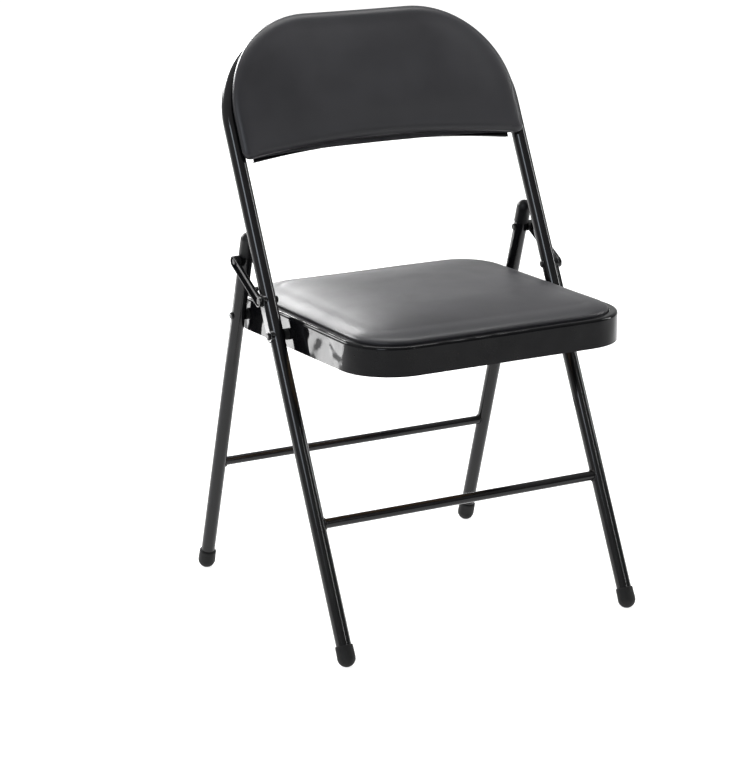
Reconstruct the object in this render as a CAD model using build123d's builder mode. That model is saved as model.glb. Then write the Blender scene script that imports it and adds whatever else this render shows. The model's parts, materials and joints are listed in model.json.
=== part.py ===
"""Steel-tube folding chair with an upholstered seat and back. Millimetres, +Z up, front towards -Y.

The origin is on the floor in the middle of the chair's footprint. Left and right are the sitter's:
the sitter faces -Y, so their left is +X. Every paired piece is built on the left and mirrored.

A bent front tube carries the back, rear legs hang behind it, and the seat pan joins them. Two short
links close the linkage between the front tube and the tops of the rear legs.
"""
from math import asin, atan, cos, degrees, radians, sin, sqrt
import os
from build123d import *

# ---- Driving dimensions ----
FRONT_LEAN = 26.3            # front tube from the vertical, top leaning back
REAR_LEAN = 16.6             # rear legs from the vertical, top leaning forward
FRONT_FOOT_Y = -204.1        # where the front tube's centre line would meet the floor
FOOT_SPAN = 426.0            # from there to the same point of the rear legs

FRONT_TUBE_R = 10.0
REAR_TUBE_R = 9.5
TUBE_WALL = 1.2
FRONT_HALF_WIDTH = 215.0     # tube centre lines, from the middle of the chair
REAR_HALF_WIDTH = 213.0
FRAME_LENGTH = 838.0         # centre line of the top bow, along the lean from the floor
FRAME_CORNER_R = 120.0
BACK_BOW = 10.0              # how far the middle of the back stands behind the uprights

FRONT_BAR_AT = 185.0         # along the front tube from the floor
FRONT_BAR_R = 6.5
REAR_BAR_AT = 174.5          # along the rear leg from the floor
REAR_BAR_R = 6.0

SEAT_PIVOT_AT = 436.0        # along the front tube
LINK_FRONT_AT = 483.1        # along the front tube
SEAT_REAR_AT = 409.0         # along the rear leg
LINK_REAR_AT = 492.0         # along the rear leg

PAN_FRONT_Y = FRONT_FOOT_Y - 26.0
PAN_RIM_Z = 418.0            # height of the rim at the front edge
PAN_SLOPE = 0.75             # degrees, falling towards the back
PAN_WIDTH = 398.0
PAN_LENGTH = 393.0
PAN_FRONT_R = 70.0
PAN_REAR_R = 55.0
PAN_DEPTH_FRONT = 38.0
PAN_DEPTH_REAR = 45.0
SHEET = 1.2                  # pressed steel
RIM_WIDTH = 10.0
RIM_EDGE_R = 4.0
LEDGE_DROP = 6.0             # the ledge under the board, below the rim
LEDGE_INNER = 38.0           # inset of the ledge's inner edge
HEM_WIDTH = 8.0

BOARD_INSET = 16.0
BOARD_THICK = 9.0
CUSHION_INSET = 11.5
CUSHION_HEIGHT = 20.0        # above the rim
CUSHION_EDGE_R = 13.0
CUSHION_REAR_R = 78.0        # rounder at the back than the pan

PAD_HALF_WIDTH = 213.2
PAD_TOP = 861.0               # the pad reaches above the tube
PAD_CORNER_R = 135.0
PAD_BOTTOM = 668.0           # at the sides, along the lean from the floor
PAD_ARCH = 17.0              # how much higher the lower edge is in the middle
PAD_BACK = 12.5              # in front of the tube centre surface
PAD_FRONT = 27.0
PANEL_BACK = 4.0
PANEL_HALF_WIDTH = 205.2
PANEL_TABS_AT = (689.0, 707.0)   # weld tabs, along the uprights
PANEL_LIP_DROP = 4.0         # how far the steel lip shows under the pad
PANEL_NOTCH = 10.0           # the lip stops short of each tube by this
LIP_RETURN = 5.0             # how far the lip is turned back
BACK_BOARD_HALF_WIDTH = 198.0
BACK_BOARD_THICK = 7.3

FOOT_R = 12.0
FOOT_CENTRE_Z = 11.0         # centre of the domed end, so that the floor cuts a small flat
FOOT_LENGTH = 28.0
FOOT_SOLE = 3.0              # rubber below the tube's end
CAP_R = 10.2
CAP_START = 8.0              # above the upper pivot of the rear leg
CAP_CENTRE = 30.5            # centre of the cap's dome, above that pivot

SHANK_R = 3.0
HEAD_R = 5.0
HEAD_TALL = 2.4
SLIP = 0.05                  # radial clearance of a rivet in its holes
FACE_GAP = 0.1               # between faces that turn on each other
OPEN_GAP = 0.3               # at the pivot where the linkage is opened

PLATE_END_R = 8.6            # round ends under the rivets
PLATE_WAIST = 6.2            # half width between them
PLATE_FLANGE = 6.0
LINK_HALF_WIDTH = 7.2
LINK_WEB = 1.4
LINK_RIM = 4.6
LINK_WALL = 1.5
WASHER_R = 7.5
WASHER_THICK = 0.8
SPACER_R = 7.5

SCREW_R = 1.9
SCREW_HEAD_R = 4.0
SCREW_HEAD_TALL = 2.0

# ---- Reference planes and pivots ----
front_up = Vector(0, sin(radians(FRONT_LEAN)), cos(radians(FRONT_LEAN)))
rear_up = Vector(0, -sin(radians(REAR_LEAN)), cos(radians(REAR_LEAN)))
# In both, local x is across the chair and local y runs up the tubes. The first faces the sitter.
frame_plane = Plane(origin=(0, FRONT_FOOT_Y, 0), x_dir=(1, 0, 0), z_dir=Vector(1, 0, 0).cross(front_up))
rear_plane = Plane(
    origin=(0, FRONT_FOOT_Y + FOOT_SPAN, 0), x_dir=(1, 0, 0), z_dir=Vector(1, 0, 0).cross(rear_up)
)
seat_plane = Plane(
    origin=(0, PAN_FRONT_Y, PAN_RIM_Z),
    x_dir=(1, 0, 0),
    z_dir=(0, sin(radians(PAN_SLOPE)), cos(radians(PAN_SLOPE))),
)
# Across the uprights: local x across the chair, local y towards the back.
bow_plane = Plane(origin=frame_plane.origin, x_dir=(1, 0, 0), z_dir=front_up)
BOW_RADIUS = (FRONT_HALF_WIDTH**2 + BACK_BOW**2) / (2 * BACK_BOW)

seat_pivot = frame_plane.from_local_coords((0, SEAT_PIVOT_AT, 0))
link_front = frame_plane.from_local_coords((0, LINK_FRONT_AT, 0))
seat_rear = rear_plane.from_local_coords((0, SEAT_REAR_AT, 0))
link_rear = rear_plane.from_local_coords((0, LINK_REAR_AT, 0))

# ---- Lateral stations, from the middle of the chair outwards ----
pan_side = PAN_WIDTH / 2
front_inner = FRONT_HALF_WIDTH - FRONT_TUBE_R
front_outer = FRONT_HALF_WIDTH + FRONT_TUBE_R
rear_inner = REAR_HALF_WIDTH - REAR_TUBE_R
rear_outer = REAR_HALF_WIDTH + REAR_TUBE_R
plate_outer = front_outer + SHEET
washer_outer = plate_outer + WASHER_THICK
link_inner = washer_outer + FACE_GAP
link_face = link_inner + LINK_WEB

os.makedirs("parts", exist_ok=True)


def export(part, name):
    part.label = name
    export_step(part, f"parts/{name}.step")


def export_pair(part, name):
    """Writes the left piece and its mirror image."""
    with BuildPart() as other:
        mirror(part, about=Plane.YZ)
    export(part, f"{name}_left")
    export(other.part, f"{name}_right")


def side_plane(pivot, x):
    """A plane square to the pivot's axis on the left side, facing outwards."""
    return Plane(origin=(x, pivot.Y, pivot.Z), x_dir=(0, 1, 0), z_dir=(1, 0, 0))


def disc(pivot, x_from, x_to, radius, mode=Mode.ADD):
    """A round piece about a pivot's axis, inside the part that is being built."""
    with BuildSketch(side_plane(pivot, x_from)) as face:
        Circle(radius)
    extrude(face.sketch, amount=x_to - x_from, mode=mode)


def pivot_hole(pivot, x_from, x_to):
    disc(pivot, x_from, x_to, SHANK_R + SLIP, Mode.SUBTRACT)


def rivet_head(pivot, x, outwards):
    """A domed head that sits on the face at x."""
    direction = 1 if outwards else -1
    start = Plane(origin=(x, pivot.Y, pivot.Z), x_dir=(0, 1, 0), z_dir=(direction, 0, 0))
    with BuildPart(mode=Mode.PRIVATE) as head:
        with BuildSketch(start):
            Circle(HEAD_R)
        extrude(amount=HEAD_TALL)
        fillet(head.faces().sort_by(Axis.X)[-1 if outwards else 0].edges(), HEAD_TALL * 0.8)
    add(head.part)


# ---- Main frame: one bent tube from foot to foot ----
foot_start = FOOT_CENTRE_Z / cos(radians(FRONT_LEAN))
tube_start = foot_start - FOOT_R + FOOT_SOLE + FOOT_R * 0.5


bend_tilt = 2 * atan(BACK_BOW / (FRONT_HALF_WIDTH + FRAME_CORNER_R))


def bent_frame(*radii):
    """The frame's tube path as a bar of the first radius, hollowed to the second if there is one.

    Each top corner is bent a little backwards, and the middle of the back is one shallow arc.
    """

    def section(centre, direction):
        with BuildSketch(Plane(origin=centre, z_dir=direction)) as ring:
            Circle(radii[0])
            for bore in radii[1:]:
                Circle(bore, mode=Mode.SUBTRACT)
        return ring.sketch

    place = frame_plane.from_local_coords
    inward = Vector(-cos(bend_tilt), 0, 0) + frame_plane.z_dir * -sin(bend_tilt)
    corner_start = place((FRONT_HALF_WIDTH, FRAME_LENGTH - FRAME_CORNER_R, 0))
    corner_centre = corner_start + inward * FRAME_CORNER_R
    corner_end = corner_centre + front_up * FRAME_CORNER_R
    top_centre = corner_end + front_up.cross(inward) * (corner_end.X / sin(bend_tilt))
    corner_axis = Axis(corner_centre, front_up.cross(inward))
    with BuildPart() as bar:
        leg = section(place((FRONT_HALF_WIDTH, tube_start, 0)), front_up)
        extrude(leg, amount=FRAME_LENGTH - FRAME_CORNER_R - tube_start)
        revolve(section(corner_start, front_up), axis=corner_axis, revolution_arc=90)
        revolve(section(corner_end, inward), axis=Axis(top_centre, front_up), revolution_arc=degrees(bend_tilt))
        mirror(about=Plane.YZ)
    return bar.part


with BuildPart() as main_frame:
    add(bent_frame(FRONT_TUBE_R, FRONT_TUBE_R - TUBE_WALL))
    for pivot in (seat_pivot, link_front):
        pivot_hole(pivot, -front_outer - 5, front_outer + 5)
export(main_frame.part, "main_frame_tube")


def bow_depth(u):
    """How far behind the plane of the uprights the bowed back lies, at u from the middle."""
    return sqrt(BOW_RADIUS**2 - u**2) - (BOW_RADIUS - BACK_BOW)


# ---- Stretchers, coped to the tubes that they are welded to ----
def stretcher(plane, at, radius, half_width, tube_r):
    with BuildPart() as bar:
        middle = plane.from_local_coords((0, at, 0))
        with BuildSketch(Plane(origin=middle, x_dir=(0, 1, 0), z_dir=(1, 0, 0))):
            Circle(radius)
            Circle(radius - TUBE_WALL, mode=Mode.SUBTRACT)
        extrude(amount=half_width, both=True)
        for side in (-1, 1):
            with BuildSketch(Plane(origin=plane.from_local_coords((side * half_width, at, 0)), z_dir=plane.y_dir)):
                Circle(tube_r + 0.02)
            extrude(amount=30, both=True, mode=Mode.SUBTRACT)
    return bar.part


export(stretcher(frame_plane, FRONT_BAR_AT, FRONT_BAR_R, FRONT_HALF_WIDTH, FRONT_TUBE_R), "front_stretcher")
export(stretcher(rear_plane, REAR_BAR_AT, REAR_BAR_R, REAR_HALF_WIDTH, REAR_TUBE_R), "rear_stretcher")

# ---- Rear legs ----
rear_foot_start = FOOT_CENTRE_Z / cos(radians(REAR_LEAN))
rear_tube_start = rear_foot_start - FOOT_R + FOOT_SOLE + FOOT_R * 0.5
with BuildPart() as rear_leg:
    with BuildSketch(Plane(origin=rear_plane.from_local_coords((REAR_HALF_WIDTH, rear_tube_start, 0)), z_dir=rear_up)):
        Circle(REAR_TUBE_R)
        Circle(REAR_TUBE_R - TUBE_WALL, mode=Mode.SUBTRACT)
    extrude(amount=LINK_REAR_AT + CAP_CENTRE - rear_tube_start)
    for pivot in (seat_rear, link_rear):
        pivot_hole(pivot, rear_inner - 5, rear_outer + 5)
export_pair(rear_leg.part, "rear_leg")


# ---- Rubber feet and the plastic caps on the rear legs' tops ----
def rubber_foot(plane, half_width, tube_r, lean, tube_from):
    """A cup with a domed end that the floor cuts flat."""
    centre = FOOT_CENTRE_Z / cos(radians(lean))
    axis_plane = Plane(
        origin=plane.from_local_coords((half_width, 0, 0)), x_dir=(1, 0, 0), z_dir=plane.z_dir
    )
    mouth = centre - FOOT_R + FOOT_LENGTH
    with BuildPart() as foot:
        with BuildSketch(axis_plane):
            with BuildLine():
                JernArc((0, centre - FOOT_R), (1, 0), FOOT_R, 90)
                Polyline(
                    (FOOT_R, centre),
                    (FOOT_R - 0.4, mouth - 1.5),
                    (tube_r + 1.2, mouth),
                    (tube_r + 0.02, mouth),
                    (tube_r + 0.02, tube_from),
                    (0, tube_from),
                    (0, centre - FOOT_R),
                )
            make_face()
        revolve(axis=Axis(axis_plane.origin, axis_plane.y_dir))
        split(bisect_by=Plane.XY, keep=Keep.TOP)
    return foot.part


export_pair(rubber_foot(frame_plane, FRONT_HALF_WIDTH, FRONT_TUBE_R, FRONT_LEAN, tube_start), "front_foot")
export_pair(rubber_foot(rear_plane, REAR_HALF_WIDTH, REAR_TUBE_R, REAR_LEAN, rear_tube_start), "rear_foot")

with BuildPart() as leg_cap:
    cap_plane = Plane(
        origin=rear_plane.from_local_coords((REAR_HALF_WIDTH, LINK_REAR_AT, 0)), x_dir=(1, 0, 0), z_dir=rear_plane.z_dir
    )
    with BuildSketch(cap_plane):
        with BuildLine():
            Polyline(
                (0, CAP_CENTRE),
                (REAR_TUBE_R + 0.02, CAP_CENTRE),
                (REAR_TUBE_R + 0.02, CAP_START),
                (CAP_R, CAP_START),
                (CAP_R, CAP_CENTRE),
            )
            JernArc((CAP_R, CAP_CENTRE), (0, 1), CAP_R, 90)
            Line((0, CAP_CENTRE + CAP_R), (0, CAP_CENTRE))
        make_face()
    revolve(axis=Axis(cap_plane.origin, cap_plane.y_dir))
export_pair(leg_cap.part, "rear_leg_cap")

# ---- Pivot plate: a narrow channel with round ends, on the outside of the front tube ----
plate_length = LINK_FRONT_AT - SEAT_PIVOT_AT
plate_middle = (seat_pivot + link_front) * 0.5


def slot(middle, direction, length, x_from, x_to, half_width, mode=Mode.ADD):
    """A round-ended bar between two pivots, square to their axes."""
    with BuildSketch(Plane(origin=(x_from, middle.Y, middle.Z), x_dir=direction, z_dir=(1, 0, 0))) as face:
        SlotCenterToCenter(length, 2 * half_width)
    extrude(face.sketch, amount=x_to - x_from, mode=mode)


def plate_block(x_from, x_to, inset, mode=Mode.ADD):
    """The pivot plate's outline, inset all round, between two stations."""
    with BuildSketch(Plane(origin=(x_from, plate_middle.Y, plate_middle.Z), x_dir=front_up, z_dir=(1, 0, 0))) as face:
        with Locations((-plate_length / 2, 0), (plate_length / 2, 0)):
            Circle(PLATE_END_R - inset)
        Rectangle(plate_length, 2 * (PLATE_WAIST - inset))
    extrude(face.sketch, amount=x_to - x_from, mode=mode)


with BuildPart() as pivot_plate:
    plate_block(front_outer - PLATE_FLANGE, plate_outer, 0)
    fillet(pivot_plate.faces().sort_by(Axis.X)[-1].edges(), SHEET * 0.9)
    plate_block(front_outer - PLATE_FLANGE, front_outer + 0.02, SHEET, Mode.SUBTRACT)
    # The flanges end on the tube.
    with BuildSketch(Plane(origin=frame_plane.from_local_coords((FRONT_HALF_WIDTH, SEAT_PIVOT_AT, 0)), z_dir=front_up)):
        Circle(FRONT_TUBE_R + 0.02)
    extrude(amount=2 * plate_length, both=True, mode=Mode.SUBTRACT)
    for pivot in (seat_pivot, link_front):
        pivot_hole(pivot, front_outer - 2, plate_outer + 2)
export_pair(pivot_plate.part, "pivot_plate")

# ---- Links: shallow pressed channels with a rim all round ----
link_line = link_rear - link_front

with BuildPart() as link:
    strap = ((link_rear + link_front) * 0.5, link_line.normalized(), link_line.length)
    slot(*strap, link_inner, link_inner + LINK_RIM, LINK_HALF_WIDTH)
    fillet(link.faces().sort_by(Axis.X)[0].edges(), LINK_WALL * 0.8)
    slot(*strap, link_face, link_inner + LINK_RIM + 1, LINK_HALF_WIDTH - LINK_WALL, Mode.SUBTRACT)
    for pivot in (link_front, link_rear):
        pivot_hole(pivot, link_inner - 2, link_face + 2)
export_pair(link.part, "link")


# ---- Rivets, washers and spacers ----
def ring(pivot, x_from, x_to, radius):
    with BuildPart() as piece:
        disc(pivot, x_from, x_to, radius)
        pivot_hole(pivot, x_from - 1, x_to + 1)
    return piece.part


with BuildPart() as seat_rivet:
    disc(seat_pivot, pan_side - SHEET - FACE_GAP, plate_outer, SHANK_R)
    rivet_head(seat_pivot, plate_outer, True)
    rivet_head(seat_pivot, pan_side - SHEET - FACE_GAP, False)
export_pair(seat_rivet.part, "seat_pivot_rivet")

with BuildPart() as front_link_rivet:
    disc(link_front, front_inner, link_face + FACE_GAP, SHANK_R)
    rivet_head(link_front, link_face + FACE_GAP, True)
    rivet_head(link_front, front_inner, False)
export_pair(front_link_rivet.part, "link_front_rivet")

with BuildPart() as seat_rear_rivet:
    disc(seat_rear, pan_side - SHEET - FACE_GAP, rear_outer, SHANK_R)
    rivet_head(seat_rear, rear_outer, True)
    rivet_head(seat_rear, pan_side - SHEET - FACE_GAP, False)
export_pair(seat_rear_rivet.part, "seat_rear_rivet")

# The upper pivot of the rear leg is the one left open: the leg keeps the shank, the link keeps the button.
boss_outer = link_inner - OPEN_GAP
with BuildPart() as leg_pin:
    disc(link_rear, rear_inner, boss_outer, SHANK_R)
    rivet_head(link_rear, rear_inner, False)
export_pair(leg_pin.part, "link_rear_pin")

with BuildPart() as link_button:
    disc(link_rear, link_inner, link_face, SHANK_R)
    rivet_head(link_rear, link_face, True)
export_pair(link_button.part, "link_rear_button")

export_pair(ring(link_front, plate_outer, washer_outer, WASHER_R), "link_washer")
export_pair(ring(link_rear, rear_outer, boss_outer, SPACER_R), "link_spacer")
export_pair(ring(seat_pivot, pan_side + FACE_GAP, front_inner, SPACER_R), "seat_pivot_spacer")
export_pair(ring(seat_rear, pan_side + FACE_GAP, rear_inner, SPACER_R), "seat_rear_spacer")


# ---- Seat pan ----
def pan_prism(inset, top, bottom, mode=Mode.ADD, rear_r=PAN_REAR_R):
    """A prism of the seat's outline, inset all round, between two heights below the rim."""
    with BuildSketch(seat_plane.offset(-bottom)) as face:
        with Locations((0, PAN_LENGTH / 2)):
            Rectangle(PAN_WIDTH - 2 * inset, PAN_LENGTH - 2 * inset)
        for row, radius in ((0, PAN_FRONT_R), (-1, rear_r)):
            fillet(face.vertices().group_by(Axis.Y)[row], radius - inset)
    extrude(face.sketch, amount=bottom - top, mode=mode)


deepest = PAN_DEPTH_REAR + 10
hem_slope = degrees(asin((PAN_DEPTH_REAR - PAN_DEPTH_FRONT) / PAN_LENGTH))
hem_plane = Plane(
    origin=seat_plane.from_local_coords((0, 0, -PAN_DEPTH_FRONT)),
    x_dir=(1, 0, 0),
    z_dir=(0, sin(radians(PAN_SLOPE + hem_slope)), cos(radians(PAN_SLOPE + hem_slope))),
)
with BuildPart() as hem:
    pan_prism(0, 0, deepest)
    pan_prism(HEM_WIDTH, -1, deepest + 1, Mode.SUBTRACT)
    split(bisect_by=hem_plane, keep=Keep.TOP)
    split(bisect_by=hem_plane.offset(SHEET), keep=Keep.BOTTOM)

seat_screw_spots = [(side * 172, along) for side in (-1, 1) for along in (80, 196, 312)]
ledge_under = LEDGE_DROP + SHEET
with BuildPart() as seat_pan:
    body = pan_prism(0, 0, deepest)
    fillet(seat_pan.faces().sort_by(Axis.Z)[-1].edges(), RIM_EDGE_R)
    pan_prism(SHEET, SHEET, deepest + 1, Mode.SUBTRACT)
    pan_prism(RIM_WIDTH, -1, SHEET + 1, Mode.SUBTRACT)
    split(bisect_by=hem_plane, keep=Keep.TOP)
    add(hem.part)
    pan_prism(RIM_WIDTH - SHEET, SHEET / 2, ledge_under)
    pan_prism(RIM_WIDTH, -1, LEDGE_DROP, Mode.SUBTRACT)
    pan_prism(LEDGE_INNER, -1, ledge_under + 1, Mode.SUBTRACT)
    for pivot in (seat_pivot, seat_rear):
        pivot_hole(pivot, -pan_side - 2, pan_side + 2)
    with BuildSketch(seat_plane):
        with Locations(*seat_screw_spots):
            Circle(SCREW_R + 0.2)
    extrude(amount=-15, mode=Mode.SUBTRACT)
export(seat_pan.part, "seat_pan")

# ---- Seat board, cushion and screws ----
with BuildPart() as seat_board:
    pan_prism(BOARD_INSET, LEDGE_DROP - BOARD_THICK, LEDGE_DROP, rear_r=CUSHION_REAR_R)
    with BuildSketch(seat_plane.offset(-LEDGE_DROP)):
        with Locations(*seat_screw_spots):
            Circle(SCREW_R)
    extrude(amount=BOARD_THICK - 1.5, mode=Mode.SUBTRACT)
export(seat_board.part, "seat_board")

with BuildPart() as seat_cushion:
    pan_prism(CUSHION_INSET, -CUSHION_HEIGHT, LEDGE_DROP, rear_r=CUSHION_REAR_R)
    fillet(seat_cushion.faces().sort_by(Axis.Z)[-1].edges(), CUSHION_EDGE_R)
    pan_prism(BOARD_INSET, LEDGE_DROP - BOARD_THICK, LEDGE_DROP + 1, Mode.SUBTRACT, CUSHION_REAR_R)
export(seat_cushion.part, "seat_cushion")

with BuildPart() as seat_screws:
    with BuildSketch(seat_plane.offset(-ledge_under)):
        with Locations(*seat_screw_spots):
            Circle(SCREW_HEAD_R)
    extrude(amount=-SCREW_HEAD_TALL)
    fillet(seat_screws.faces().filter_by(GeomType.PLANE).group_by(Axis.Z)[0].edges(), SCREW_HEAD_TALL * 0.7)
    with BuildSketch(seat_plane.offset(-ledge_under)):
        with Locations(*seat_screw_spots):
            Circle(SCREW_R)
    extrude(amount=SHEET + BOARD_THICK - 2)
export(seat_screws.part, "seat_screws")


# ---- Back: steel panel, board, pad and screws ----
def back_prism(half_width, top, bottom, corner, mode=Mode.ADD):
    """The back's outline: upright sides, round upper corners and an arched lower edge."""
    with BuildSketch(frame_plane) as face:
        with BuildLine():
            Line((half_width, bottom), (half_width, top - corner))
            JernArc((half_width, top - corner), (0, 1), corner, 90)
            Line((half_width - corner, top), (corner - half_width, top))
            JernArc((corner - half_width, top), (-1, 0), corner, 90)
            Line((-half_width, top - corner), (-half_width, bottom))
            ThreePointArc((-half_width, bottom), (0, bottom + PAD_ARCH), (half_width, bottom))
        make_face()
    extrude(face.sketch, amount=60, both=True, mode=mode)


def bow_slab(back, front):
    """Keeps what lies between two surfaces of the bow, measured forward from the tube's centre line."""
    with BuildSketch(bow_plane.offset(500)) as ring:
        with Locations((0, BACK_BOW - BOW_RADIUS)):
            Circle(BOW_RADIUS - back)
            Circle(BOW_RADIUS - front, mode=Mode.SUBTRACT)
        Rectangle(500, 140, mode=Mode.INTERSECT)
    extrude(ring.sketch, amount=450, mode=Mode.INTERSECT)


def back_screw_hole(radius, back, front):
    with BuildSketch(frame_plane.offset(back)) as face:
        with Locations(*back_screw_spots):
            Circle(radius)
    extrude(face.sketch, amount=front - back, mode=Mode.SUBTRACT)


back_screw_spots = [(side * u, at) for side in (-1, 1) for u, at in ((150, 705), (115, 795))]
panel_front = PANEL_BACK + SHEET
panel_bottom = PAD_BOTTOM - PANEL_LIP_DROP
panel_corner = FRAME_CORNER_R - (FRONT_HALF_WIDTH - PANEL_HALF_WIDTH)
panel_top = FRAME_LENGTH - (FRONT_HALF_WIDTH - PANEL_HALF_WIDTH)

def lower_notches(width, height):
    """Cuts the panel's lower corners clear of the uprights."""
    with BuildSketch(frame_plane) as corners:
        with Locations(*((side * PANEL_HALF_WIDTH, panel_bottom) for side in (-1, 1))):
            Rectangle(2 * width, 2 * height)
    extrude(corners.sketch, amount=60, both=True, mode=Mode.SUBTRACT)


with BuildPart() as panel_lip:
    back_prism(PANEL_HALF_WIDTH, panel_top, panel_bottom + 0.8, panel_corner)
    back_prism(PANEL_HALF_WIDTH, panel_top, panel_bottom + 0.8 + SHEET, panel_corner, Mode.SUBTRACT)
    lower_notches(PANEL_NOTCH + 1, 30)
    bow_slab(PANEL_BACK - LIP_RETURN, PANEL_BACK + SHEET / 2)

with BuildPart() as back_panel:
    back_prism(PANEL_HALF_WIDTH, panel_top, panel_bottom, panel_corner)
    with BuildSketch(frame_plane):
        with Locations(*((side * PANEL_HALF_WIDTH, at) for side in (-1, 1) for at in PANEL_TABS_AT)):
            Rectangle(8, 9)
    extrude(amount=60, both=True)
    bow_slab(PANEL_BACK, panel_front)
    lower_notches(PANEL_NOTCH, PANEL_NOTCH)
    add(panel_lip.part)
    # The welded tabs end on the uprights.
    for side in (-1, 1):
        with BuildSketch(Plane(origin=frame_plane.from_local_coords((side * FRONT_HALF_WIDTH, 600, 0)), z_dir=front_up)):
            Circle(FRONT_TUBE_R + 0.02)
        extrude(amount=115, mode=Mode.SUBTRACT)
    back_screw_hole(SCREW_R + 0.2, -20, 20)
export(back_panel.part, "back_panel")

with BuildPart() as back_board:
    board_inset = FRONT_HALF_WIDTH - BACK_BOARD_HALF_WIDTH
    back_prism(BACK_BOARD_HALF_WIDTH, FRAME_LENGTH - board_inset, PAD_BOTTOM + 10, FRAME_CORNER_R - board_inset)
    bow_slab(panel_front, panel_front + BACK_BOARD_THICK)
    back_screw_hole(SCREW_R, -20, panel_front + BACK_BOARD_THICK - 4)
export(back_board.part, "back_board")

with BuildPart() as back_pad:
    back_prism(PAD_HALF_WIDTH, PAD_TOP, PAD_BOTTOM, PAD_CORNER_R)
    bow_slab(PAD_BACK, PAD_FRONT)
export(back_pad.part, "back_pad")

with BuildPart() as back_screws:
    for u, at in back_screw_spots:
        seat_face = PANEL_BACK - bow_depth(u)
        head_plane = frame_plane.offset(seat_face - 0.6)
        with BuildSketch(head_plane):
            with Locations((u, at)):
                Circle(SCREW_HEAD_R)
        extrude(amount=-SCREW_HEAD_TALL)
        with BuildSketch(head_plane):
            with Locations((u, at)):
                Circle(SCREW_R)
        extrude(amount=SHEET + BACK_BOARD_THICK - 1.8)
export(back_screws.part, "back_screws")
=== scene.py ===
"""Looks for the folding chair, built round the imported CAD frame. Metres, +Z up, front towards -Y."""
import json
from math import cos, radians, sin, sqrt, tau

import bpy
import numpy as np
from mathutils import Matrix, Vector, noise


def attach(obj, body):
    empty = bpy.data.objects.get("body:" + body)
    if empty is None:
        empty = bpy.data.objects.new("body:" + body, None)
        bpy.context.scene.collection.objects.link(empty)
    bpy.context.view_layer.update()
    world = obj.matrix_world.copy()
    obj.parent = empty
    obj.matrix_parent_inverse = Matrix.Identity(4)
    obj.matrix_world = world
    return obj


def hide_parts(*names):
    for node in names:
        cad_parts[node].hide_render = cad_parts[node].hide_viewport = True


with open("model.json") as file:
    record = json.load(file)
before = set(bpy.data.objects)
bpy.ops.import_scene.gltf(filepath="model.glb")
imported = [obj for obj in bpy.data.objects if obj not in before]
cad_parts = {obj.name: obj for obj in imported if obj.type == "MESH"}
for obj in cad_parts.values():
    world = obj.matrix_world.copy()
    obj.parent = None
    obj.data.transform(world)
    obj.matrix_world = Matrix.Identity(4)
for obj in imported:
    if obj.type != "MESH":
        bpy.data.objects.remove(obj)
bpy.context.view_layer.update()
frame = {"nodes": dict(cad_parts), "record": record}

MM = 0.001

# ---- The CAD's dimensions that the looks follow, in millimetres ----
FRONT_LEAN, REAR_LEAN, PAN_SLOPE = radians(26.3), radians(16.6), radians(0.75)
FRONT_FOOT_Y, REAR_FOOT_Y = -204.1, 221.9
PAN_FRONT_Y, PAN_RIM_Z = -230.1, 418.0
PAN_HALF, PAN_LENGTH = 199.0, 393.0
PAN_FRONT_R, CUSHION_REAR_R = 70.0, 78.0
HALF_WIDTH, BACK_BOW = 215.0, 10.0
BOW_RADIUS = (HALF_WIDTH**2 + BACK_BOW**2) / (2 * BACK_BOW)
PAD_HALF, PAD_TOP, PAD_BOTTOM, PAD_ARCH, PAD_CORNER = 213.2, 861.0, 668.0, 17.0, 135.0
PAD_BACK = 12.5
FRONT_TUBE_R, REAR_TUBE_R = 10.0, 9.5
REAR_HALF_WIDTH = 213.0
FRONT_BAR_AT, FRONT_BAR_R = 185.0, 6.5
REAR_BAR_AT, REAR_BAR_R = 174.5, 6.0

# ---- Soft pieces ----
ARC_STEPS = 24               # points round each corner of an outline
EDGE_INSETS = (0.25, 0.8, 1.7, 3.0, 4.8, 7.0)
CUSHION_INSET = 11.8         # from the pan's outline
CUSHION_WALL = (-5.8, -4.9, -2.0, 1.5)
PAD_OVERHANG = 0.6           # beyond the CAD's outline
PAD_LOWER_R = 9.0            # the pad's lower corners
CLOTH_FRAMES = 20
SWELL_ROUNDS, CROWN_ROUNDS = 30, 60


def from_frame(u, s, n):
    """Millimetres across, up the front tubes and towards the sitter, to metres."""
    y = FRONT_FOOT_Y + s * sin(FRONT_LEAN) - n * cos(FRONT_LEAN)
    z = s * cos(FRONT_LEAN) + n * sin(FRONT_LEAN)
    return Vector((u, y, z)) * MM


def from_rear(u, s, n):
    y = REAR_FOOT_Y - s * sin(REAR_LEAN) - n * cos(REAR_LEAN)
    z = s * cos(REAR_LEAN) - n * sin(REAR_LEAN)
    return Vector((u, y, z)) * MM


def from_seat(x, y, h):
    """Millimetres across, back from the pan's front edge and above its rim, to metres."""
    return Vector((x, PAN_FRONT_Y + y * cos(PAN_SLOPE) + h * sin(PAN_SLOPE),
                   PAN_RIM_Z - y * sin(PAN_SLOPE) + h * cos(PAN_SLOPE))) * MM


def bow_depth(u):
    return sqrt(BOW_RADIUS**2 - u**2) - (BOW_RADIUS - BACK_BOW)


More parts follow.
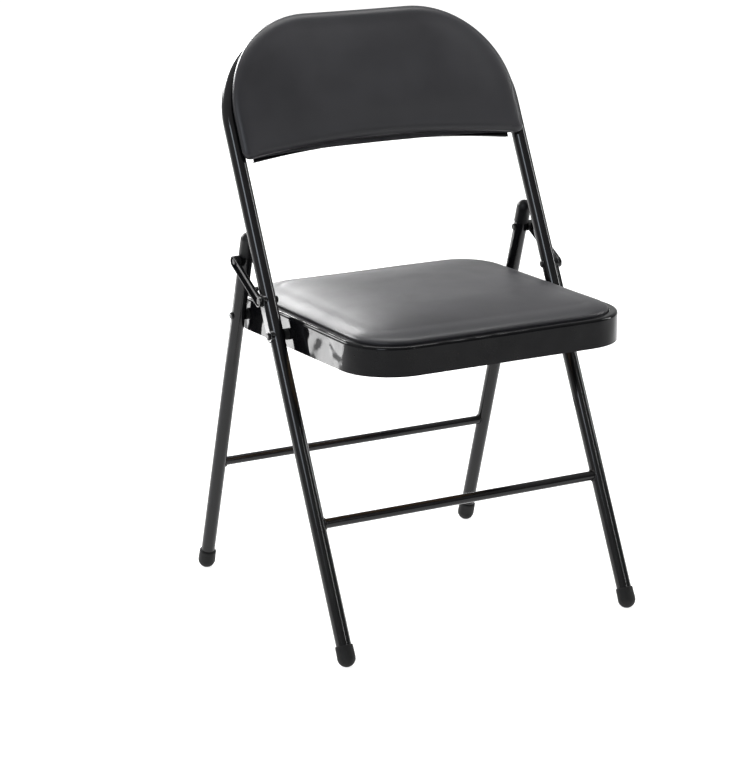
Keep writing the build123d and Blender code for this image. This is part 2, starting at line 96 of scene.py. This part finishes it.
# ---- Materials ----
class Shader:
    """A material whose textures are placed in the object's own space, in metres."""

    def __init__(self, name, color, roughness, metallic=0.0, specular=0.5, sheen=0.0):
        self.material = bpy.data.materials.new(name)
        self.material.use_nodes = True
        self.tree = self.material.node_tree
        self.bsdf = self.tree.nodes["Principled BSDF"]
        self.coords = self.add("ShaderNodeTexCoord").outputs["Object"]
        self.set(self.bsdf, {"Base Color": (*color, 1), "Roughness": roughness, "Metallic": metallic,
                             "Specular IOR Level": specular, "Sheen Weight": sheen})
        self.height = None

    def set(self, node, values):
        for key, value in values.items():
            node.inputs[key].default_value = value

    def add(self, kind, **settings):
        node = self.tree.nodes.new(kind)
        for key, value in settings.items():
            setattr(node, key, value)
        return node

    def join(self, output, target):
        self.tree.links.new(output, target)

    def stretched(self, scale):
        mapping = self.add("ShaderNodeMapping")
        self.set(mapping, {"Scale": scale})
        self.join(self.coords, mapping.inputs["Vector"])
        return mapping.outputs[0]

    def noise(self, scale, detail=4.0, rough=0.5, stretch=None):
        node = self.add("ShaderNodeTexNoise")
        self.set(node, {"Scale": scale, "Detail": detail, "Roughness": rough})
        self.join(self.stretched(stretch) if stretch else self.coords, node.inputs["Vector"])
        return node.outputs["Fac"]

    def cells(self, scale):
        node = self.add("ShaderNodeTexVoronoi", feature="F1")
        self.set(node, {"Scale": scale})
        self.join(self.coords, node.inputs["Vector"])
        return node.outputs["Distance"]

    def remap(self, value, low, high, to_low, to_high):
        node = self.add("ShaderNodeMapRange")
        self.set(node, {"From Min": low, "From Max": high, "To Min": to_low, "To Max": to_high})
        self.join(value, node.inputs["Value"])
        return node.outputs[0]

    def mix_color(self, factor, first, second):
        node = self.add("ShaderNodeMix", data_type="RGBA")
        node.inputs["A"].default_value = (*first, 1)
        node.inputs["B"].default_value = (*second, 1)
        self.join(factor, node.inputs["Factor"])
        self.join(node.outputs["Result"], self.bsdf.inputs["Base Color"])

    def roughen(self, value, low, high):
        self.join(self.remap(value, 0.3, 0.7, low, high), self.bsdf.inputs["Roughness"])

    def bump(self, value, depth_mm, strength=1.0):
        node = self.add("ShaderNodeBump")
        self.set(node, {"Strength": strength, "Distance": depth_mm * MM})
        self.join(value, node.inputs["Height"])
        if self.height:
            self.join(self.height, node.inputs["Normal"])
        self.height = node.outputs["Normal"]
        self.join(self.height, self.bsdf.inputs["Normal"])


def paint(name, roughness, dust, waviness_mm=0.0, specular=0.26):
    """Black gloss paint with smudges, dust and, on pressed sheet, slow waves."""
    shader = Shader(name, (0.004, 0.004, 0.0045), roughness, specular=specular)
    shader.roughen(shader.noise(9, 5), roughness * 0.8, roughness * 1.35)
    specks = shader.remap(shader.noise(38, 6), 0.52, 0.80, 0, dust)
    shader.mix_color(specks, (0.0035, 0.0035, 0.004), (0.022, 0.022, 0.021))
    if waviness_mm:
        shader.bump(shader.noise(17, 1.5), waviness_mm)
    shader.bump(shader.noise(420, 2), 0.02, 0.35)
    return shader.material


def cover_material():
    shader = Shader("cover_leatherette", (0.011, 0.011, 0.013), 0.42, specular=0.42, sheen=0.03)
    grain = shader.cells(900)
    fine = shader.noise(2600, 3)
    broad = shader.noise(14, 4)
    shader.roughen(broad, 0.36, 0.47)
    tint = shader.remap(broad, 0.3, 0.7, 0, 1)
    shader.mix_color(tint, (0.0090, 0.0088, 0.0112), (0.0125, 0.0122, 0.0155))
    shader.bump(shader.noise(26, 3), 0.25, 0.5)
    shader.bump(grain, 0.10, 0.45)
    shader.bump(fine, 0.03, 0.4)
    return shader.material


def rubber_material(name, color, roughness):
    shader = Shader(name, color, roughness, specular=0.22)
    shader.roughen(shader.noise(60, 5), roughness * 0.85, min(1.0, roughness * 1.12))
    shader.mix_color(shader.remap(shader.noise(45, 5), 0.5, 0.75, 0, 1), color, tuple(c * 2.0 for c in color))
    shader.bump(shader.noise(1500, 4), 0.05, 0.5)
    return shader.material


def wood_material():
    shader = Shader("board_plywood", (0.42, 0.29, 0.16), 0.62, specular=0.3)
    grain = shader.noise(55, 10, 0.68, stretch=(1.6, 0.07, 1.6))
    pores = shader.noise(420, 4, 0.6, stretch=(1.8, 0.05, 1.8))
    shader.mix_color(shader.remap(grain, 0.36, 0.66, 0, 1), (0.25, 0.15, 0.075), (0.46, 0.31, 0.17))
    shader.roughen(grain, 0.55, 0.75)
    shader.bump(grain, 0.12, 0.5)
    shader.bump(pores, 0.10, 0.7)
    return shader.material


def zinc_material():
    shader = Shader("screw_zinc", (0.55, 0.54, 0.50), 0.32, metallic=1.0)
    tarnish = shader.remap(shader.noise(300, 4), 0.4, 0.7, 0, 1)
    shader.mix_color(tarnish, (0.60, 0.59, 0.55), (0.38, 0.36, 0.30))
    shader.roughen(shader.noise(500, 4), 0.25, 0.45)
    shader.bump(shader.noise(1200, 3), 0.02, 0.4)
    return shader.material


materials = {
    "frame_paint": paint("frame_paint", 0.11, 0.25, 0.0, 0.34),
    "pan_paint": paint("pan_paint", 0.05, 0.15, 4.0, 0.14),
    "rivet_paint": paint("rivet_paint", 0.20, 0.9),
    "cover": cover_material(),
    "rubber": rubber_material("foot_rubber", (0.006, 0.006, 0.006), 0.6),
    "cap": rubber_material("cap_plastic", (0.006, 0.006, 0.0065), 0.38),
    "nylon": rubber_material("spacer_nylon", (0.008, 0.008, 0.008), 0.45),
    "board": wood_material(),
    "zinc": zinc_material(),
}
SLOT_LOOK = {"steel": "frame_paint", "rivet": "rivet_paint", "rubber": "rubber", "cap": "cap",
             "nylon": "nylon", "board": "board", "zinc": "zinc", "cover": "cover"}
for part in frame["record"]["subparts"]:
    node = frame["nodes"][part["node"]]
    look = "pan_paint" if part["node"] == "seat_pan" else SLOT_LOOK[part["material_slot"]]
    node.data.materials.clear()
    node.data.materials.append(materials[look])


# ---- Building helpers ----
def new_object(name, verts, faces, look):
    mesh = bpy.data.meshes.new(name)
    mesh.from_pydata([tuple(v) for v in verts], [], faces)
    mesh.validate()
    obj = bpy.data.objects.new(name, mesh)
    bpy.context.scene.collection.objects.link(obj)
    mesh.materials.append(materials[look])
    mesh.shade_smooth()
    return obj


def apply_modifiers(obj):
    graph = bpy.context.evaluated_depsgraph_get()
    mesh = bpy.data.meshes.new_from_object(obj.evaluated_get(graph))
    old = obj.data
    obj.modifiers.clear()
    obj.data = mesh
    bpy.data.meshes.remove(old)
    return obj


def seated(obj, body, slot, *replaced):
    """Puts a piece on its body and hides the CAD nodes that it replaces. The slot argument is not used."""
    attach(obj, body)
    if replaced:
        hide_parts(*replaced)
    return obj


def bead_mesh(name, path, radius_at, look, sides=10):
    """A bead along a closed path of metres, whose radius in metres may vary."""
    count = len(path)
    # A steady reference keeps the rings from twisting.
    reference = Vector((1, 0, 0))
    verts, faces = [], []
    for i, point in enumerate(path):
        ahead, behind = path[(i + 1) % count], path[i - 1]
        along = (ahead - behind).normalized()
        side = (reference - along * reference.dot(along)).normalized()
        up = along.cross(side)
        for k in range(sides):
            angle = tau * k / sides
            verts.append(point + (side * cos(angle) + up * sin(angle)) * radius_at(i))
    for i in range(count):
        for k in range(sides):
            a, b = i * sides + k, i * sides + (k + 1) % sides
            c, d = ((i + 1) % count) * sides + (k + 1) % sides, ((i + 1) % count) * sides + k
            faces.append((a, b, c, d))
    return new_object(name, verts, faces, look)


# ---- Soft parts ----
def arc(cx, cy, radius, start, stop, steps):
    return [(cx + radius * cos(radians(start + (stop - start) * i / steps)),
             cy + radius * sin(radians(start + (stop - start) * i / steps))) for i in range(steps + 1)]


def resample(points, count):
    """The closed line through the points as even steps, whose quarters lie evenly about its first point."""
    line = np.array(points + points[:1])
    run = np.concatenate([[0], np.cumsum(np.linalg.norm(np.diff(line, axis=0), axis=1))])
    at = (np.linspace(0, run[-1], count, endpoint=False) - run[-1] / 8) % run[-1]
    return np.stack([np.interp(at, run, line[:, 0]), np.interp(at, run, line[:, 1])], 1)


def seat_outline(inset):
    """The cushion's outline from the middle of its rear edge, anticlockwise from above."""
    half, rear = PAN_HALF - inset, PAN_LENGTH - inset
    front_r, rear_r = PAN_FRONT_R - inset, CUSHION_REAR_R - inset
    points = [(0.0, rear)] + arc(rear_r - half, rear - rear_r, rear_r, 90, 180, ARC_STEPS)
    points += arc(front_r - half, inset + front_r, front_r, 180, 270, ARC_STEPS)
    points += arc(half - front_r, inset + front_r, front_r, 270, 360, ARC_STEPS)
    return points + arc(half - rear_r, rear - rear_r, rear_r, 0, 90, ARC_STEPS)


def pad_outline(inset):
    """The back pad's outline from the middle of its top, anticlockwise as the sitter's side shows it."""
    half, top, bottom = PAD_HALF - inset, PAD_TOP - inset, PAD_BOTTOM + inset
    corner, lower_r = PAD_CORNER - inset, PAD_LOWER_R - inset
    points = [(0.0, top)] + arc(corner - half, top - corner, corner, 90, 180, ARC_STEPS)
    points += arc(lower_r - half, bottom + lower_r, lower_r, 180, 265, 8)
    start, stop = lower_r - half, half - lower_r
    for i in range(1, 32):
        u = start + (stop - start) * i / 32
        points.append((u, bottom + PAD_ARCH * (1 - (u / half) ** 2)))
    points += arc(half - lower_r, bottom + lower_r, lower_r, 275, 360, 8)
    return points + arc(half - corner, top - corner, corner, 0, 90, ARC_STEPS)


def edge_distance(points, outline):
    """How far each point lies from the outline."""
    a = np.array(outline)
    b = np.roll(a, -1, axis=0)
    ab = b - a
    length = np.maximum((ab**2).sum(1), 1e-9)
    t = np.clip(((points[:, None] - a) * ab).sum(2) / length, 0, 1)
    nearest = a + t[..., None] * ab
    return np.sqrt(((points[:, None] - nearest) ** 2).sum(2)).min(1)


def coons(ring, side):
    """Fills a ring of 4 * side points with a smooth grid, whose border is the ring itself."""
    a, b = ring[:side + 1], ring[side:2 * side + 1]
    c, d = ring[2 * side:3 * side + 1][::-1], np.concatenate([ring[3 * side:], ring[:1]])[::-1]
    u, v = np.meshgrid(np.linspace(0, 1, side + 1), np.linspace(0, 1, side + 1), indexing="ij")
    u, v = u[..., None], v[..., None]
    edges = (1 - v) * a[:, None] + v * c[:, None] + (1 - u) * d[None] + u * b[None]
    corners = (1 - u) * (1 - v) * a[0] + u * (1 - v) * a[-1] + (1 - u) * v * c[0] + u * v * c[-1]
    return edges - corners


def padded_mesh(outline_at, wall, insets, side):
    """A closed slab: a flat back, a side wall, rings that close in from the edge and a grid in the middle."""
    count = 4 * side
    rings, heights = [], []
    for inset, height in [(0.0, h) for h in wall] + [(inset, wall[-1]) for inset in insets]:
        rings.append(resample(outline_at(inset), count))
        heights.append(height)
    verts = [(x, y, h) for ring, h in zip(rings, heights) for x, y in ring]
    faces = []
    for low in range(0, (len(rings) - 1) * count, count):
        high = low + count
        faces += [(low + i, low + (i + 1) % count, high + (i + 1) % count, high + i) for i in range(count)]

    def fill(first, height, flip):
        ring = rings[first // count]
        grid = coons(ring, side)
        border = {}
        for i in range(side):
            border[(i, 0)], border[(side, i)] = first + i, first + side + i
            border[(side - i, side)], border[(0, side - i)] = first + 2 * side + i, first + (3 * side + i)
        number = {}
        for i in range(side + 1):
            for j in range(side + 1):
                if (i, j) in border:
                    number[i, j] = border[i, j]
                else:
                    number[i, j] = len(verts)
                    verts.append((*grid[i, j], height))
        for i in range(side):
            for j in range(side):
                face = (number[i, j], number[i + 1, j], number[i + 1, j + 1], number[i, j + 1])
                faces.append(face[::-1] if flip else face)

    fill((len(rings) - 1) * count, heights[-1], False)
    fill(0, wall[0], True)
    return verts, faces


def read_points(obj):
    points = np.empty(len(obj.data.vertices) * 3)
    obj.data.vertices.foreach_get("co", points)
    return points.reshape(-1, 3)


def write_points(obj, points):
    obj.data.vertices.foreach_set("co", np.asarray(points).ravel())
    obj.data.update()


def averaged(obj, values, rounds):
    """Evens out a value held at each point by averaging it with its neighbours."""
    ends = np.empty(len(obj.data.edges) * 2, dtype=np.int64)
    obj.data.edges.foreach_get("vertices", ends)
    a, b = ends.reshape(-1, 2).T
    count = np.bincount(a, minlength=len(values)) + np.bincount(b, minlength=len(values))
    for _ in range(rounds):
        total = np.zeros_like(values)
        np.add.at(total, a, values[b])
        np.add.at(total, b, values[a])
        values = 0.5 * values + 0.5 * total / count[:, None]
    return values


def swell(obj, pinned, share, pressure, cap_mm):
    """Blows the cover up from inside with cloth, and keeps the slow part of the swelling, up to a cap."""
    start = read_points(obj)
    group = obj.vertex_groups.new(name="pin")
    group.add([int(i) for i in np.flatnonzero(pinned)], 1.0, "REPLACE")
    cloth = obj.modifiers.new("cloth", "CLOTH")
    settings = cloth.settings
    settings.quality = 6
    settings.mass = 0.15
    settings.tension_stiffness = settings.compression_stiffness = 25
    settings.shear_stiffness = 12
    settings.bending_stiffness = 0.6
    settings.use_pressure = True
    settings.uniform_pressure_force = pressure
    settings.vertex_group_mass = "pin"
    settings.effector_weights.gravity = 0
    cloth.point_cache.frame_start, cloth.point_cache.frame_end = 1, CLOTH_FRAMES
    for step in range(1, CLOTH_FRAMES + 1):
        bpy.context.scene.frame_set(step)
    apply_modifiers(obj)
    bpy.context.scene.frame_set(1)
    moved = read_points(obj) - start
    moved = averaged(obj, moved, SWELL_ROUNDS)
    far = np.linalg.norm(moved, axis=1, keepdims=True)
    moved *= share[:, None] * np.minimum(1, cap_mm * MM / np.maximum(far, 1e-9))
    write_points(obj, start + moved)


def soft_piece(name, outline_at, wall, insets, side, profile, pressure, cap_mm, shape):
    """A crowned pad whose top follows a profile in from its edge, swollen by cloth and put in place."""
    verts, faces = padded_mesh(outline_at, wall, insets, side)
    obj = new_object(name, [Vector(v) * MM for v in verts], faces, "cover")
    points = np.array(verts)
    inside = edge_distance(points[:, :2], outline_at(0))
    top = points[:, 2] >= wall[-1] - 1e-6
    points[top, 2] += profile(inside[top])
    # The crown keeps its edge and loses the ridges that run in from its corners.
    share = np.where(top, np.clip((inside - 5) / 28, 0, 1), 0)
    share = share * share * (3 - 2 * share)
    crown = averaged(obj, np.where(top, points[:, 2], wall[-1])[:, None], CROWN_ROUNDS)[:, 0]
    points[:, 2] += share * (crown - points[:, 2])
    write_points(obj, points * MM)
    swell(obj, share <= 0, share, pressure, cap_mm)
    divide = obj.modifiers.new("divide", "SUBSURF")
    divide.levels = divide.render_levels = 1
    apply_modifiers(obj)
    points = read_points(obj) / MM
    write_points(obj, np.array([tuple(shape(*point)) for point in points]))
    obj.data.shade_smooth()
    return obj


def rounded(inside, radius, height):
    """The quarter ellipse that turns the side wall into the top."""
    t = np.clip(inside / radius, 0, 1)
    return height * np.sqrt(1 - (1 - t) ** 2)


def shape_seat(x, y, h):
    """Puts a point of the cushion in the pan, with faint slow unevenness in the foam."""
    if h > 2:
        h += 0.4 * noise.noise(Vector((x, y, 0)) / 80)
    return from_seat(x, y, h)


def shape_back(u, s, n):
    return from_frame(u, s, n - bow_depth(u))


def cushion_profile(inside):
    return rounded(inside, 6.0, 2.6) + 12.6 * (1 - np.exp(-inside / 27.0))


def pad_profile(inside):
    return rounded(inside, 12.0, 6.0) + 4.5 * (1 - np.exp(-inside / 26.0))


seat_cushion = soft_piece(
    "seat_cushion_cover", lambda inset: seat_outline(CUSHION_INSET + inset), CUSHION_WALL,
    EDGE_INSETS + (9.5, 13.0, 18.0, 24.0, 31.0), 44, cushion_profile, 4.0, 3.4, shape_seat)
seated(seat_cushion, "seat", "cover", "seat_cushion")

back_pad = soft_piece(
    "back_pad_cover", lambda inset: pad_outline(inset - PAD_OVERHANG),
    (PAD_BACK, PAD_BACK + 0.8, PAD_BACK + 3.5), EDGE_INSETS, 48, pad_profile, 3.0, 2.2, shape_back)
seated(back_pad, "frame", "cover", "back_pad")


# ---- Weld beads where the stretchers meet the tubes ----
def weld(name, place, at, bar_r, half_width, tube_r, body):
    """A slightly uneven bead round each end of a stretcher, on the line where it meets the tube."""
    for side, word in ((1, "left"), (-1, "right")):
        path = []
        for i in range(56):
            angle = tau * i / 56
            off = (bar_r + 0.5) * sin(angle)
            across = half_width - sqrt((tube_r + 0.3) ** 2 - off**2)
            path.append(place(side * across, at + (bar_r + 0.5) * cos(angle), off))
        bead = bead_mesh(f"{name}_{word}", path,
                         lambda i: (1.15 + 0.35 * sin(i * 2.244) + 0.2 * sin(i * 0.9 + side)) * MM,
                         "frame_paint")
        seated(bead, body, "steel")


weld("weld_front_stretcher", from_frame, FRONT_BAR_AT, FRONT_BAR_R, HALF_WIDTH, FRONT_TUBE_R, "frame")
weld("weld_rear_stretcher", from_rear, REAR_BAR_AT, REAR_BAR_R, REAR_HALF_WIDTH, REAR_TUBE_R, "rear_legs")

# ---- Stage, camera and light ----
bpy.ops.mesh.primitive_plane_add(size=40, location=(0, 0, 0))
floor = bpy.context.object
floor.name = "floor"
floor_shader = Shader("floor_pale", (0.45, 0.45, 0.45), 0.75, specular=0.1)
floor_shader.mix_color(floor_shader.noise(3, 3), (0.44, 0.44, 0.44), (0.46, 0.46, 0.46))
floor_shader.set(floor_shader.bsdf, {"Emission Color": (1, 1, 1, 1), "Emission Strength": 0.80})
floor.data.materials.append(floor_shader.material)

# A sky that is brightest high up, behind the chair and to the left of the view.
world = bpy.data.worlds.new("studio")
world.use_nodes = True
sky = world.node_tree
background = sky.nodes["Background"]
background.inputs["Color"].default_value = (1, 1, 1, 1)
direction = sky.nodes.new("ShaderNodeTexCoord").outputs["Generated"]
facing = sky.nodes.new("ShaderNodeVectorMath")
facing.operation = "DOT_PRODUCT"
facing.inputs[1].default_value = (-0.35, 0.55, 0.75)
fade = sky.nodes.new("ShaderNodeMapRange")
for socket, value in (("From Min", -0.6), ("From Max", 1.0), ("To Min", 0.12), ("To Max", 0.80)):
    fade.inputs[socket].default_value = value
sky.links.new(direction, facing.inputs[0])
sky.links.new(facing.outputs["Value"], fade.inputs["Value"])
sky.links.new(fade.outputs[0], background.inputs["Strength"])
bpy.context.scene.world = world
bpy.context.scene.view_settings.view_transform = "Standard"


def area_light(name, location, target, size, energy, color=(1, 1, 1)):
    data = bpy.data.lights.new(name, "AREA")
    data.shape = "RECTANGLE"
    data.size, data.size_y = size
    data.energy = energy
    data.color = color
    obj = bpy.data.objects.new(name, data)
    obj.location = location
    obj.rotation_euler = (Vector(target) - Vector(location)).to_track_quat("-Z", "Y").to_euler()
    bpy.context.scene.collection.objects.link(obj)


area_light("key_left", (-2.6, -1.9, 2.1), (0, 0, 0.55), (0.9, 1.2), 26, (0.82, 0.90, 1.0))
area_light("back_left", (-1.9, 3.4, 2.1), (0, 0, 0.4), (1.6, 1.2), 60)
area_light("top", (0.3, 0.5, 2.8), (0, 0, 0.4), (2.4, 0.4), 42)
area_light("behind", (-0.1, 3.6, 1.5), (0, 0, 0.4), (2.8, 1.1), 175)
area_light("edge_right", (2.4, -0.6, 1.5), (0, 0, 0.4), (0.2, 1.7), 22)
area_light("strip_front", (1.35, -3.4, 1.95), (0, -0.2, 0.2), (0.12, 0.8), 9)

# A pool of light on the floor, behind the chair and to the left of the view. The pan's side mirrors it.
pool = bpy.data.lights.new("floor_pool", "SPOT")
pool.energy, pool.spot_size, pool.spot_blend = 900, radians(25), 0.4
pool.shadow_soft_size = 0.02
lamp = bpy.data.objects.new("floor_pool", pool)
lamp.location = (-0.93, 1.26, 1.1)
bpy.context.scene.collection.objects.link(lamp)

YAW, PITCH = radians(28.9), radians(16.07)
SENSOR_WIDTH, LENS = 36.0, 118.2722513
camera_data = bpy.data.cameras.new("camera")
camera_data.sensor_width, camera_data.lens = SENSOR_WIDTH, LENS
camera = bpy.data.objects.new("camera", camera_data)
camera.location = (-1.6244, -2.8099, 1.2304)
forward = Vector((sin(YAW) * cos(PITCH), cos(YAW) * cos(PITCH), -sin(PITCH)))
camera.rotation_euler = forward.to_track_quat("-Z", "Y").to_euler()
bpy.context.scene.collection.objects.link(camera)
bpy.context.scene.camera = camera
